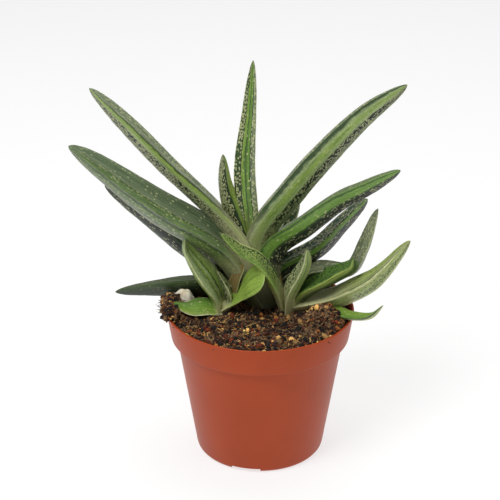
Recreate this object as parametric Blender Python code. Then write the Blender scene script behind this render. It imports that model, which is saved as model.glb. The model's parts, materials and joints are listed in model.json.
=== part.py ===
"""Potted gasteria: a clump of three rosettes in potting soil, in a round plastic nursery pot.

The origin is the middle of the pot's underside, +Z is up and the clump's show side looks along -Y.
Lengths in the tables below are millimetres, and every mesh is made in metres.
"""
import math
import random

import bmesh
import bpy
from mathutils import Matrix, Vector, noise
from mathutils.bvhtree import BVHTree

MM = 0.001
GAP = 0.3                      # clearance between two pieces that touch
WELD = 0.001                   # vertices closer than this are one
GOLDEN_ANGLE = math.pi * (3 - math.sqrt(5))

# Pot
RIM_RADIUS = 52.5              # a 10.5 cm nursery pot
RIM_HEIGHT = 86.0
BAND_FOOT_RADIUS = 49.9        # the collar under the rim
BAND_FOOT_HEIGHT = 69.7
STEP_RISE = 1.0                # the wall's inner step lies this far above the collar's foot
STEP_HALF = 0.4                # half the height of that step's slope
WALL_TOP_RADIUS = 46.9
WALL_FOOT_RADIUS = 36.0
FOOT_ROUNDING = 3.5
FOOT_STEPS = 3                 # facets in the rounded foot
EDGE_ROUNDING = 0.6            # small chamfers at the collar's foot and the lip
LIP_WIDTH = 0.85
POT_WALL = 1.3
FOOT_LAND_INNER = 27.0         # the outer ring that the pot stands on
CENTRE_LAND = 12.0             # the flat pad in the middle of the underside
LAND_SLOPE = 1.2               # how far the lands' flanks lean
UNDERSIDE_RAISE = 2.6
FLOOR = 1.4
FLOOR_TOP = UNDERSIDE_RAISE + FLOOR
FLOOR_CHAMFER = 2.0            # between the floor and the inside of the wall
POT_SIDES = 64
NOTCHES = 3
NOTCH_WIDTH = 17.0
NOTCH_REACH = (23.0, 45.0)     # from and to this far from the middle
NOTCH_BEARING = -103.5         # degrees from +X, the notch that shows in front
DRAINS = 6
DRAIN_RADIUS = 3.5
DRAIN_CIRCLE = 19.5

# Soil
SOIL_LEVEL = 83.5
SOIL_RINGS = 15
FINE_RELIEF = (3.1, 1.35)      # breadth and height of the small unevenness
COARSE_RELIEF = (7.5, 1.65)    # and of the large one
EDGE_FALL = 1.0                # how far the soil drops at the pot's wall
EDGE_FALL_POWER = 8
SHELF_SLOPE = 0.4              # the soil's shoulder over the step in the wall
UNDER_LEAF = 0.6               # the soil stays this far under whatever lies on it
UNDER_REACH = (-2.0, 0.0, 2.0)  # and looks this far aside for it
HEAPS = (                      # x, y, radius, height of each heap
    (-50.0, -6.0, 9.0, 5.0),
    (31.0, -15.0, 8.0, 9.0),
    (39.0, -17.0, 7.0, 7.5),
    (-8.0, -30.0, 16.0, 1.0),
    (10.0, 36.0, 18.0, 2.0),
)
CLUMP_PLACE = (-49.5, -5.5, 88.5)     # the clump that hangs over the rim on the left
CLUMP_SIZE = (5.0, 12.0, 5.5)
CLUMP_NEIGHBOURS = ("leaf_back_left", "leaf_front_left_low")
CLUMP_ROUGHNESS = 0.5
LUMPS = 26                     # coarse crumbs tried on the soil's top
LUMP_FIELD = 46.0              # they lie within this radius
LUMP_RADII = (2.4, 4.2)
LUMP_ROUGHNESS = 0.4
LUMP_LIFT = 0.1                # how far a lump's middle lies over the soil, in its radius

# Crowns: x, y, stem radius at the soil and at the top, height of the top
CROWNS = {
    "main": (-1.0, 14.0, 6.5, 5.0, 91.0),
    "left": (-22.0, 2.0, 4.0, 3.0, 86.0),
    "right": (16.0, 2.0, 4.5, 3.5, 87.0),
}
STEM_FOOT = 64.0
STEM_SIDES = 16
HOLE_TOP = 99.0

# Leaves. line: points on the middle line from root to tip; width: from margin to margin, and
# depth: from the upper face to the keel, each at the root, the middle and the upper part;
# turn: degrees that the upper face is turned to the front, at the root and at the tip;
# blunt: how late the leaf draws in to its tip.
# A leaf gives way to those listed before it, as the outer bases of a rosette press into each other.
LEAVES = {
    "leaf_front_tongue": dict(
        line=((-22, 1, 83), (-9, -3, 96.5), (-5, -8, 104), (2.5, -13, 111.5)),
        width=(6.5, 13, 18), depth=(4, 5, 3.5), turn=(32, 51), blunt=14, colour="fresh"),
    "leaf_front_arching": dict(
        line=((13, 1, 83), (8.5, -3, 99), (-1.5, -8, 117.5), (-11.5, -11, 125.5), (-21.5, -14, 137)),
        width=(8, 11, 10.5), depth=(4, 6, 4.5), turn=(42, 41), blunt=4, colour="speckled"),
    "leaf_front_left": dict(
        line=((-23, 2, 83), (-25, 2, 93), (-40.5, 2, 120), (-41, 2, 129.5)),
        width=(12.5, 19.5, 14.5), depth=(5.5, 8.5, 6.5), turn=(20, 28), blunt=3.5, colour="fresh"),
    "leaf_front_left_inner": dict(
        line=((-19, 0, 86), (-17, 0.5, 93), (-24, 2.5, 107.5)),
        width=(6, 9.5, 7.5), depth=(3, 4.5, 3), turn=(-14, -20), blunt=4, colour="speckled"),
    "leaf_front_left_low": dict(
        line=((-23, 1, 84), (-31.5, -4, 87.5), (-40, -8, 88.5), (-50, -10, 93.5)),
        width=(10, 12, 9), depth=(4, 5, 4), turn=(35, 36), blunt=3, colour="fresh"),
    "leaf_front_dry": dict(
        line=((-16, 3, 87), (-13.5, 2, 102), (-9, 1, 111.5)),
        width=(5, 9.5, 7.5), depth=(1.5, 2, 1.5), turn=(50, 50), blunt=6, colour="dry"),
    "leaf_front_right": dict(
        line=((16, 0, 83), (17, -3, 97), (24.5, -5, 114.5), (25.5, -7, 124.5)),
        width=(10, 13.5, 13), depth=(6.5, 7, 7.5), turn=(46, 40), blunt=3, colour="fresh"),
    "leaf_front_right_wide": dict(
        line=((18, 4, 84), (26, 2, 95.5), (42, -1, 106.5), (50.5, -4, 113), (51, -6, 118.5)),
        width=(13, 19.5, 12), depth=(5.5, 7, 7), turn=(4, 12), blunt=8, colour="speckled"),
    "leaf_right_pale": dict(
        line=((20, 3, 85), (37.5, 0, 90), (47, -3, 95), (63, -8, 107.5), (80.5, -13, 132.5)),
        width=(14, 17, 12), depth=(7, 10, 8), turn=(5, 9), blunt=4, colour="pale"),
    "leaf_right_over_rim": dict(
        line=((21, 1, 85), (37, -4, 87), (47.5, -16, 88.5), (59, -24.5, 92.5), (66, -27, 100.5)),
        width=(6, 9.5, 9), depth=(3, 3.5, 3.5), turn=(0, 6), blunt=4, colour="fresh"),
    "leaf_front_withered": dict(
        line=((14, 3, 86), (12, 4, 96), (11, 5, 104)),
        width=(3, 4, 3), depth=(1.2, 1.4, 1.2), turn=(10, 10), blunt=3, colour="dry"),
    "leaf_left_long": dict(
        line=((-1, 8, 83), (-21.5, 9, 117), (-57.5, -1, 146.5), (-101, -10, 185.5)),
        width=(14, 24, 22), depth=(9.5, 15, 12.5), turn=(17, 22), blunt=5, colour="green"),
    "leaf_right_long": dict(
        line=((3, 9, 83), (7.5, 8, 118), (24.5, 5, 134), (42.5, 3, 149), (55.5, 0, 157.2),
              (74.5, -4, 169.5)),
        width=(16.5, 23, 19), depth=(12, 10.5, 9), turn=(-12, -8), blunt=6, colour="green"),
    "leaf_left_high": dict(
        line=((-3, 13, 90), (-13, 12, 124.5), (-53.5, 14, 168.2), (-73.2, 18, 188.2), (-92.3, 22, 206.8)),
        width=(14.5, 17.5, 16), depth=(7, 8.5, 9.5), turn=(-24, 3), blunt=6, colour="speckled"),
    "leaf_right_high": dict(
        line=((0, 16, 88), (-1, 16, 122), (16.5, 17, 148.5), (35.5, 21, 170.3), (57.3, 26, 191),
              (80, 32, 205.5)),
        width=(24.5, 20, 15.5), depth=(13, 13, 12), turn=(-21, -18), blunt=6, colour="pale"),
    "leaf_right_lower": dict(
        line=((1, 16, 86), (11.5, 17, 101.5), (32.5, 19, 113.5), (46.5, 25, 126), (60.5, 30, 139)),
        width=(15, 17, 15), depth=(7, 9, 7.5), turn=(-10, -10), blunt=8, colour="dark"),
    "leaf_inner_left": dict(
        line=((-3, 14, 98), (-9, 15, 119), (-19, 15, 152), (-20.5, 16, 171)),
        width=(11.5, 13.5, 14), depth=(8, 10, 8), turn=(5, 7), blunt=3.5, colour="speckled"),
    "leaf_upright": dict(
        line=((-2, 16, 100), (-7, 19, 136), (-8.8, 23, 160.5), (-6.3, 30, 191), (-4, 36, 218)),
        width=(10, 12.5, 10.2), depth=(6, 7, 6), turn=(4, 1), blunt=4, colour="speckled"),
    "leaf_inner_right": dict(
        line=((3, 20, 93), (15, 28, 118), (22.5, 36, 133.5)),
        width=(6, 9, 9), depth=(3.5, 5, 5), turn=(0, 0), blunt=5, colour="speckled"),
    "leaf_right_upturned": dict(
        line=((1, 14, 87), (17, 12, 95), (32, 11, 104), (50, 9, 104), (57.3, 6, 118.5), (64.2, 4, 144)),
        width=(8.5, 11.5, 15), depth=(4.5, 6, 6.5), turn=(-5, 45), blunt=3, colour="grey"),
    "leaf_left_shaded": dict(
        line=((-5, 17, 90), (-21, 18.5, 101.5), (-36, 20, 108.5), (-63, 22, 131), (-86.5, 24, 149.5)),
        width=(14, 14.5, 10.5), depth=(8, 8, 7.5), turn=(-3, -2), blunt=6, colour="dark"),
    "leaf_back_left": dict(
        line=((-6, 18, 88), (-34, 15, 92), (-59.5, 12, 92), (-81.5, 8, 91.5)),
        width=(13, 15, 12), depth=(6, 10, 8), turn=(-11, -11), blunt=4, colour="dark"),
    "leaf_back_a": dict(
        line=((-3, 18, 88), (-14, 36, 97), (-24, 54, 100), (-30, 70, 98)),
        width=(11, 13, 12), depth=(5, 8, 7), turn=(0, 0), blunt=6, colour="dark"),
    "leaf_back_b": dict(
        line=((0, 19, 88), (8, 38, 100), (14, 56, 105), (17, 72, 104)),
        width=(11, 13, 12), depth=(5, 8, 7), turn=(0, 0), blunt=6, colour="green"),
    "leaf_back_c": dict(
        line=((2, 18, 87), (12, 28, 92), (22, 38, 93), (30, 47, 91)),
        width=(10, 12, 11), depth=(5, 7, 6), turn=(0, 0), blunt=6, colour="dark"),
}
STATION_SPACING = 9.0          # length of leaf between two of its sections
LEAST_STATIONS = 5
TIP_CROWDING = 1.5             # sections lie closer together towards the tip
MIDDLE_SHARE = 0.45            # where on its length a leaf has its middle and its upper size
UPPER_SHARE = 0.82
TIP_RADIUS = 0.35
TIP_ROUNDNESS = 0.6
LINE_OVER_KEEL = 0.35          # the middle line runs this share of the depth under the upper face
# Corners of a section, in half widths and depths: margins, shallow channel, narrow double keel
LEAF_CORNERS = (
    (1.0, 0.06), (0.5, 0.10), (0.0, 0.02), (-0.5, 0.10), (-1.0, 0.06),
    (-0.66, -0.42), (-0.17, -0.94), (0.0, -1.0), (0.17, -0.94), (0.66, -0.42))
CORNER_GROWTH = 1.35           # a corner moves this much further out than its two faces
LEAF_COLOURS = {
    "fresh": (0.22, 0.37, 0.08), "green": (0.12, 0.24, 0.06), "speckled": (0.10, 0.19, 0.07),
    "pale": (0.34, 0.43, 0.18), "dark": (0.03, 0.08, 0.03), "grey": (0.16, 0.22, 0.13),
    "dry": (0.30, 0.22, 0.09),
}

# Pale stone on the left heap
STONE_PLACE = (-43.0, 5.0)
STONE_SIZE = (12.5, 8.5, 8.3)
STONE_OVER_SOIL = 2.6          # its widest level lies this far over the soil
STONE_BEAK = 0.25


def clear_scene():
    """Remove what the start-up file holds."""
    for obj in list(bpy.data.objects):
        bpy.data.objects.remove(obj, do_unlink=True)


def material(name, colour, roughness):
    """A plain Principled material."""
    made = bpy.data.materials.new(name)
    made.use_nodes = True
    shader = made.node_tree.nodes["Principled BSDF"]
    shader.inputs["Base Color"].default_value = (*colour, 1.0)
    shader.inputs["Roughness"].default_value = roughness
    shader.inputs["Metallic"].default_value = 0.0
    return made


def object_from(bm, name, surface=None, place=(0.0, 0.0, 0.0)):
    """Turn a bmesh in millimetres into an object in metres at its place."""
    bmesh.ops.triangulate(bm, faces=bm.faces)
    bmesh.ops.recalc_face_normals(bm, faces=bm.faces)
    bmesh.ops.scale(bm, vec=(MM, MM, MM), verts=bm.verts)
    mesh = bpy.data.meshes.new(name)
    bm.to_mesh(mesh)
    bm.free()
    mesh.shade_smooth()
    mesh.set_sharp_from_angle(angle=math.radians(35))
    if surface:
        mesh.materials.append(surface)
    obj = bpy.data.objects.new(name, mesh)
    obj.location = Vector(place) * MM
    bpy.context.scene.collection.objects.link(obj)
    return obj


def cut(obj, cutters, operation="DIFFERENCE"):
    """Cut the object by each cutter, then remove the cutters."""
    for cutter in cutters:
        cutter.hide_render = True
        cutter.display_type = "WIRE"
        modifier = obj.modifiers.new("cut", "BOOLEAN")
        modifier.operation = operation
        modifier.object = cutter
    bpy.context.view_layer.update()
    graph = bpy.context.evaluated_depsgraph_get()
    result = bpy.data.meshes.new_from_object(obj.evaluated_get(graph))
    obj.modifiers.clear()
    obj.data = result
    for cutter in cutters:
        bpy.data.objects.remove(cutter, do_unlink=True)


def keep_largest_body(obj):
    """Drop the loose scraps that a cut leaves."""
    bm = bmesh.new()
    bm.from_mesh(obj.data)
    bmesh.ops.remove_doubles(bm, verts=bm.verts, dist=WELD * MM)
    unseen = set(bm.verts)
    bodies = []
    while unseen:
        body, front = set(), [unseen.pop()]
        while front:
            vert = front.pop()
            body.add(vert)
            near = {edge.other_vert(vert) for edge in vert.link_edges} & unseen
            unseen -= near
            front.extend(near)
        bodies.append(body)
    bodies.sort(key=len)
    for body in bodies[:-1]:
        bmesh.ops.delete(bm, geom=list(body), context="VERTS")
    bm.to_mesh(obj.data)
    bm.free()


def cylinder(name, place, foot_radius, top_radius, depth, sides, surface=None):
    """A closed upright cylinder or cone frustum that stands on its place."""
    bm = bmesh.new()
    bmesh.ops.create_cone(
        bm, cap_ends=True, segments=sides, radius1=foot_radius, radius2=top_radius,
        depth=depth, matrix=Matrix.Translation((0, 0, depth / 2)))
    return object_from(bm, name, surface, place)


def foot_corner():
    """Points of the rounded corner between the underside and the wall, from below upwards."""
    slope = math.atan2(BAND_FOOT_HEIGHT, WALL_TOP_RADIUS - WALL_FOOT_RADIUS)
    reach = FOOT_ROUNDING * (1 - math.cos(slope)) / math.sin(slope)
    centre_r = WALL_FOOT_RADIUS + reach * math.cos(slope) - FOOT_ROUNDING * math.sin(slope)
    points = []
    for step in range(FOOT_STEPS + 1):
        angle = -math.pi / 2 + slope * step / FOOT_STEPS
        points.append((centre_r + FOOT_ROUNDING * math.cos(angle),
                       FOOT_ROUNDING + FOOT_ROUNDING * math.sin(angle)))
    return points


def inner_radius(height):
    """Radius of the pot's inside at a height."""
    if height > BAND_FOOT_HEIGHT + STEP_RISE:
        share = (height - BAND_FOOT_HEIGHT) / (RIM_HEIGHT - BAND_FOOT_HEIGHT)
        return BAND_FOOT_RADIUS + (RIM_RADIUS - BAND_FOOT_RADIUS) * share - POT_WALL
    share = height / BAND_FOOT_HEIGHT
    return WALL_FOOT_RADIUS + (WALL_TOP_RADIUS - WALL_FOOT_RADIUS) * share - POT_WALL


def turned(outline, closed=False):
    """Spin an outline of (radius, height) points round the upright axis."""
    bm = bmesh.new()
    verts = [bm.verts.new((radius, 0.0, height)) for radius, height in outline]
    following = verts[1:] + verts[:1] if closed else verts[1:]
    edges = [bm.edges.new(pair) for pair in zip(verts, following)]
    bmesh.ops.spin(
        bm, geom=verts + edges, cent=(0, 0, 0), axis=(0, 0, 1), angle=math.tau,
        steps=POT_SIDES, use_merge=True)
    bmesh.ops.remove_doubles(bm, verts=bm.verts, dist=WELD)
    return bm


def make_pot():
    """The nursery pot: collar, tapered wall, raised underside with a notched foot and drain holes."""
    step = BAND_FOOT_HEIGHT + STEP_RISE
    wall_foot = FLOOR_TOP + FLOOR_CHAMFER
    outline = [(0.0, 0.0), (CENTRE_LAND, 0.0), (CENTRE_LAND + LAND_SLOPE, UNDERSIDE_RAISE),
               (FOOT_LAND_INNER - LAND_SLOPE, UNDERSIDE_RAISE), (FOOT_LAND_INNER, 0.0)]
    outline += foot_corner()
    outline += [
        (WALL_TOP_RADIUS, BAND_FOOT_HEIGHT),
        (BAND_FOOT_RADIUS - EDGE_ROUNDING, BAND_FOOT_HEIGHT),
        (BAND_FOOT_RADIUS, BAND_FOOT_HEIGHT + EDGE_ROUNDING),
        (RIM_RADIUS - EDGE_ROUNDING / 4, RIM_HEIGHT - EDGE_ROUNDING),
        (RIM_RADIUS - EDGE_ROUNDING / 2, RIM_HEIGHT),
        (RIM_RADIUS - EDGE_ROUNDING / 2 - LIP_WIDTH, RIM_HEIGHT),
        (inner_radius(RIM_HEIGHT - EDGE_ROUNDING), RIM_HEIGHT - EDGE_ROUNDING),
        (inner_radius(step + STEP_HALF), step + STEP_HALF),
        (inner_radius(step - STEP_HALF), step - STEP_HALF),
        (inner_radius(wall_foot), wall_foot),
        (inner_radius(wall_foot) - FLOOR_CHAMFER, FLOOR_TOP), (0.0, FLOOR_TOP)]
    pot = object_from(turned(outline), "pot", material("pot_plastic", (0.38, 0.08, 0.025), 0.4))
    cutters = []
    for index in range(NOTCHES):
        bearing = math.radians(NOTCH_BEARING) + math.tau / NOTCHES * index
        bm = bmesh.new()
        middle = Matrix.Translation((sum(NOTCH_REACH) / 2, 0, 0))
        size = (NOTCH_REACH[1] - NOTCH_REACH[0], NOTCH_WIDTH, 2 * UNDERSIDE_RAISE, 1.0)
        place = Matrix.Rotation(bearing, 4, "Z") @ middle @ Matrix.Diagonal(size)
        bmesh.ops.create_cube(bm, size=1.0, matrix=place)
        cutters.append(object_from(bm, "notch"))
    for index in range(DRAINS):
        bearing = math.tau * (index + 0.5) / DRAINS
        place = (DRAIN_CIRCLE * math.cos(bearing), DRAIN_CIRCLE * math.sin(bearing), FLOOR)
        cutters.append(cylinder("drain", place, DRAIN_RADIUS, DRAIN_RADIUS, FLOOR_TOP, 12))
    cut(pot, cutters)
    return pot


def make_stem(crown, surface=None, grow=0.0):
    """The short stem of a rosette, standing in its hole in the soil."""
    x, y, foot, top, height = CROWNS[crown]
    return cylinder(
        "stem_" + crown, (x, y, STEM_FOOT - grow), foot + grow, top + grow,
        height - STEM_FOOT + 2 * grow, STEM_SIDES, surface)


def along(points, share):
    """Place on a smooth curve through the points, at a share of its length."""
    points = [Vector(point) for point in points]
    reach = [0.0]
    for start, end in zip(points, points[1:]):
        reach.append(reach[-1] + (end - start).length)
    wanted = share * reach[-1]
    index = max(i for i in range(len(points) - 1) if reach[i] <= wanted + 1e-9)
    span = reach[index + 1] - reach[index]
    t = (wanted - reach[index]) / span

    def slope(i):
        before, after = max(i - 1, 0), min(i + 1, len(points) - 1)
        return (points[after] - points[before]) / (reach[after] - reach[before])

    start, end = points[index], points[index + 1]
    t2, t3 = t * t, t * t * t
    return (start * (2 * t3 - 3 * t2 + 1) + slope(index) * span * (t3 - 2 * t2 + t)
            + end * (3 * t2 - 2 * t3) + slope(index + 1) * span * (t3 - t2))


def eased(share):
    """Ease a share between 0 and 1 at both its ends."""
    share = min(max(share, 0.0), 1.0)
    return share * share * (3 - 2 * share)


def leaf_size(leaf, share):
    """Half width and keel depth of a leaf at a share of its length."""
    fade = max(1.0 - share ** leaf["blunt"], 0.0) ** TIP_ROUNDNESS
    low = eased(share / MIDDLE_SHARE)
    high = eased((share - MIDDLE_SHARE) / (UPPER_SHARE - MIDDLE_SHARE))
    sizes = []
    for root, middle, upper in (leaf["width"], leaf["depth"]):
        sizes.append((root + (middle - root) * low + (upper - middle) * high) * fade)
    return max(sizes[0] / 2, TIP_RADIUS), max(sizes[1], TIP_RADIUS)


def leaf_frame(leaf, share):
    """Middle of a section, the direction across the leaf, that of its upper face and that ahead."""
    line = leaf["line"]
    step = 0.01
    ahead = along(line, min(share + step, 1.0)) - along(line, max(share - step, 0.0))
    ahead.normalize()
    lean = Vector(line[-1]) - Vector(line[0])
    lean.z = 0.0
    across = Vector((0, 0, 1)).cross(lean).normalized()
    upper = ahead.cross(across).normalized()
    across = upper.cross(ahead).normalized()
    turn = leaf["turn"][0] + (leaf["turn"][1] - leaf["turn"][0]) * share
    if across.y > 0:
        turn = -turn
    roll = Matrix.Rotation(math.radians(turn), 3, -ahead)
    return along(line, share), roll @ across, roll @ upper, ahead


def leaf_section(leaf, share, grow=0.0):
    """Corners of the keeled section at a share of the leaf's length."""
    centre, across, upper, _ = leaf_frame(leaf, share)
    half, depth = leaf_size(leaf, share)
    placed = []
    for u, v in LEAF_CORNERS:
        flat = Vector((u * half, (v + LINE_OVER_KEEL) * depth))
        flat += flat.normalized() * grow * CORNER_GROWTH
        placed.append(centre + across * flat.x + upper * flat.y)
    return placed


def leaf_mesh(leaf, grow=0.0):
    """A keeled leaf, extruded section by section from root to tip."""
    length = sum((Vector(b) - Vector(a)).length for a, b in zip(leaf["line"], leaf["line"][1:]))
    steps = max(LEAST_STATIONS, round(length / STATION_SPACING))
    bm = bmesh.new()
    ring = [bm.verts.new(point) for point in leaf_section(leaf, 0.0, grow)]
    bm.faces.new(ring)
    edges = [bm.edges.get((a, b)) for a, b in zip(ring, ring[1:] + ring[:1])]
    for index in range(1, steps + 1):
        share = 1.0 - (1.0 - index / steps) ** TIP_CROWDING
        grown = bmesh.ops.extrude_edge_only(bm, edges=edges)["geom"]
        fresh = {item for item in grown if isinstance(item, bmesh.types.BMVert)}
        ring = [next(edge.other_vert(vert) for edge in vert.link_edges
                     if edge.other_vert(vert) in fresh) for vert in ring]
        for vert, point in zip(ring, leaf_section(leaf, share, grow)):
            vert.co = point
        edges = [bm.edges.get((a, b)) for a, b in zip(ring, ring[1:] + ring[:1])]
    bm.faces.new(ring)
    ahead = leaf_frame(leaf, 1.0)[3]
    for vert in ring:
        vert.co += ahead * grow
    return bm


def box_of(obj):
    """Lowest and highest corner of an object's mesh."""
    points = [vert.co for vert in obj.data.vertices]
    return ([min(p[i] for p in points) for i in range(3)],
            [max(p[i] for p in points) for i in range(3)])


def boxes_meet(first, second):
    """Whether two boxes overlap."""
    return all(first[0][i] < second[1][i] and second[0][i] < first[1][i] for i in range(3))


def make_leaves(surfaces):
    """Every leaf, each cut clear of the stems and of the leaves listed before it."""
    made = {}
    for name, leaf in LEAVES.items():
        obj = object_from(leaf_mesh(leaf), name, surfaces[leaf["colour"]])
        cutters = [make_stem(crown, grow=GAP) for crown in CROWNS]
        for other in made:
            grown = object_from(leaf_mesh(LEAVES[other], GAP), "clear")
            if boxes_meet(box_of(obj), box_of(grown)):
                cutters.append(grown)
            else:
                bpy.data.objects.remove(grown, do_unlink=True)
        cut(obj, cutters)
        keep_largest_body(obj)
        made[name] = obj
    return made


def soil_height(x, y):
    """Height of the soil's uneven top."""
    height = SOIL_LEVEL
    for heap_x, heap_y, radius, rise in HEAPS:
        away = math.hypot(x - heap_x, y - heap_y) / radius
        height += rise * math.exp(-away * away)
    for layer, (breadth, rise) in enumerate((FINE_RELIEF, COARSE_RELIEF)):
        height += rise * noise.noise(Vector((x / breadth, y / breadth, 2.0 + 7.0 * layer)))
    return height


def lumpy_ball(name, centre, radii, detail, roughness):
    """A closed crumb: a sphere with a noisy surface, stretched to its three radii."""
    bm = bmesh.new()
    bmesh.ops.create_icosphere(bm, subdivisions=detail, radius=1.0)
    for vert in bm.verts:
        vert.co *= 1.0 + roughness * noise.noise(vert.co * 1.7 + Vector(centre))
    bmesh.ops.scale(bm, vec=radii, verts=bm.verts)
    return object_from(bm, name, place=centre)


def make_lumps(trees):
    """Coarse crumbs on the soil's top, left out wherever they would touch a leaf or a stem."""
    chance = random.Random(11)
    lumps = []
    for index in range(LUMPS):
        reach = LUMP_FIELD * math.sqrt((index + 0.5) / LUMPS)
        bearing = index * GOLDEN_ANGLE
        radius = chance.uniform(*LUMP_RADII)
        x, y = reach * math.cos(bearing), reach * math.sin(bearing)
        centre = Vector((x, y, soil_height(x, y) + LUMP_LIFT * radius))
        stems = [math.hypot(x - crown[0], y - crown[1]) - crown[2] for crown in CROWNS.values()]
        away = min([tree.find_nearest(centre)[3] for tree in trees] + stems)
        if away < radius * (1 + LUMP_ROUGHNESS) + GAP:
            continue
        radii = (radius * chance.uniform(0.8, 1.3), radius, radius * 0.75)
        lumps.append(lumpy_ball("lump", centre, radii, 1, LUMP_ROUGHNESS))
    return lumps


def make_clump():
    """The clump of soil on the left that hangs over the rim, clear of the pot's collar."""
    clump = lumpy_ball("clump", CLUMP_PLACE, CLUMP_SIZE, 3, CLUMP_ROUGHNESS)
    collar = turned((
        (BAND_FOOT_RADIUS - POT_WALL - GAP, BAND_FOOT_HEIGHT),
        (BAND_FOOT_RADIUS + GAP, BAND_FOOT_HEIGHT),
        (RIM_RADIUS + GAP, RIM_HEIGHT + GAP),
        (inner_radius(RIM_HEIGHT) - GAP, RIM_HEIGHT + GAP)), closed=True)
    cut(clump, [object_from(collar, "collar")])
    return clump


def make_soil(above, stone_foot):
    """Potting soil that fills the pot, lower wherever a leaf or the stone lies on it."""
    bpy.context.view_layer.update()
    trees = []
    for obj in above:
        trees.append(BVHTree.FromPolygons(
            [obj.matrix_world @ vert.co / MM for vert in obj.data.vertices],
            [tuple(face.vertices) for face in obj.data.polygons]))
    foot = FLOOR_TOP + GAP
    wall_foot = FLOOR_TOP + FLOOR_CHAMFER
    below, over = (BAND_FOOT_HEIGHT + STEP_RISE + side * SHELF_SLOPE for side in (-1, 1))
    shoulder = SOIL_LEVEL - 2.0
    edge = inner_radius(shoulder) - GAP
    outline = [
        (0.0, foot), (inner_radius(wall_foot) - FLOOR_CHAMFER - GAP, foot),
        (inner_radius(wall_foot) - GAP, wall_foot + 2 * GAP),
        (inner_radius(below) - GAP, below + 1.2 * GAP),
        (inner_radius(over) - GAP, over + 1.2 * GAP), (edge, shoulder)]
    for ring in range(1, SOIL_RINGS + 1):
        outline.append((edge * (1 - ring / SOIL_RINGS), SOIL_LEVEL))
    bm = turned(outline)
    for vert in bm.verts:
        if vert.co.z <= shoulder + GAP:
            continue
        x, y = vert.co.x, vert.co.y
        height = soil_height(x, y) - EDGE_FALL * (math.hypot(x, y) / edge) ** EDGE_FALL_POWER
        for tree in trees:
            for dx in UNDER_REACH:
                for dy in UNDER_REACH:
                    start = Vector((x + dx, y + dy, BAND_FOOT_HEIGHT))
                    hit = tree.ray_cast(start, Vector((0, 0, 1)))[0]
                    if hit:
                        height = min(height, hit.z - UNDER_LEAF)
        vert.co.z = height
    soil = object_from(bm, "potting_soil", material("potting_soil", (0.045, 0.028, 0.018), 0.95))
    cut(soil, [make_clump(), *make_lumps(trees)], "UNION")
    cutters = [object_from(leaf_mesh(LEAVES[name], GAP), "clear") for name in CLUMP_NEIGHBOURS]
    cutters.append(make_stone(stone_foot, grow=GAP))
    for x, y, foot_radius, _, _ in CROWNS.values():
        radius, depth = foot_radius + GAP, HOLE_TOP - STEM_FOOT + GAP
        cutters.append(cylinder("hole", (x, y, STEM_FOOT - GAP), radius, radius, depth, STEM_SIDES))
    cut(soil, cutters)
    return soil


def make_stone(foot, surface=None, grow=0.0):
    """Half-round pale stone with a small beak, seated on the soil."""
    bm = bmesh.new()
    bmesh.ops.create_icosphere(bm, subdivisions=2, radius=1.0)
    for vert in bm.verts:
        co = vert.co
        if co.z < 0:
            co.z *= 0.25
        co += co.normalized() * 0.08 * noise.noise(co * 2.1)
        if co.x < -0.7:
            co.z += STONE_BEAK * (-co.x - 0.7) / 0.3
    width, breadth, height = STONE_SIZE
    bmesh.ops.scale(bm, vec=(width / 2, breadth / 2, height), verts=bm.verts)
    middle = Vector((0, 0, 0.35 * height))
    for vert in bm.verts:
        vert.co += (vert.co - middle).normalized() * grow * CORNER_GROWTH
    return object_from(bm, "pale_stone", surface, (*STONE_PLACE, foot))


def main():
    clear_scene()
    plant = bpy.data.objects.new("potted_gasteria", None)
    bpy.context.scene.collection.objects.link(plant)
    surfaces = {name: material("leaf_" + name, colour, 0.45)
                for name, colour in LEAF_COLOURS.items()}
    pot = make_pot()
    leaves = list(make_leaves(surfaces).values())
    stem_surface = material("stem", (0.35, 0.36, 0.18), 0.6)
    stems = [make_stem(crown, stem_surface) for crown in CROWNS]
    stone_foot = soil_height(*STONE_PLACE) + STONE_OVER_SOIL
    stone = make_stone(stone_foot, material("pale_stone", (0.62, 0.52, 0.40), 0.8))
    soil = make_soil([*leaves, stone], stone_foot)
    for piece in (pot, soil, stone, *stems, *leaves):
        piece.parent = plant


main()
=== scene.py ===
"""Looks of the potted gasteria: finer pot, soil, stone and leaves around the part, and a studio stage.

Lengths in the tables are millimetres and every mesh is made in metres. The plant's show side looks along -Y.
"""

import json
import math
import random

import bmesh
import bpy
import numpy as np
from bpy.props import FloatProperty, FloatVectorProperty, IntProperty, PointerProperty
from mathutils import Matrix, Vector, noise
from mathutils.bvhtree import BVHTree

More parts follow.
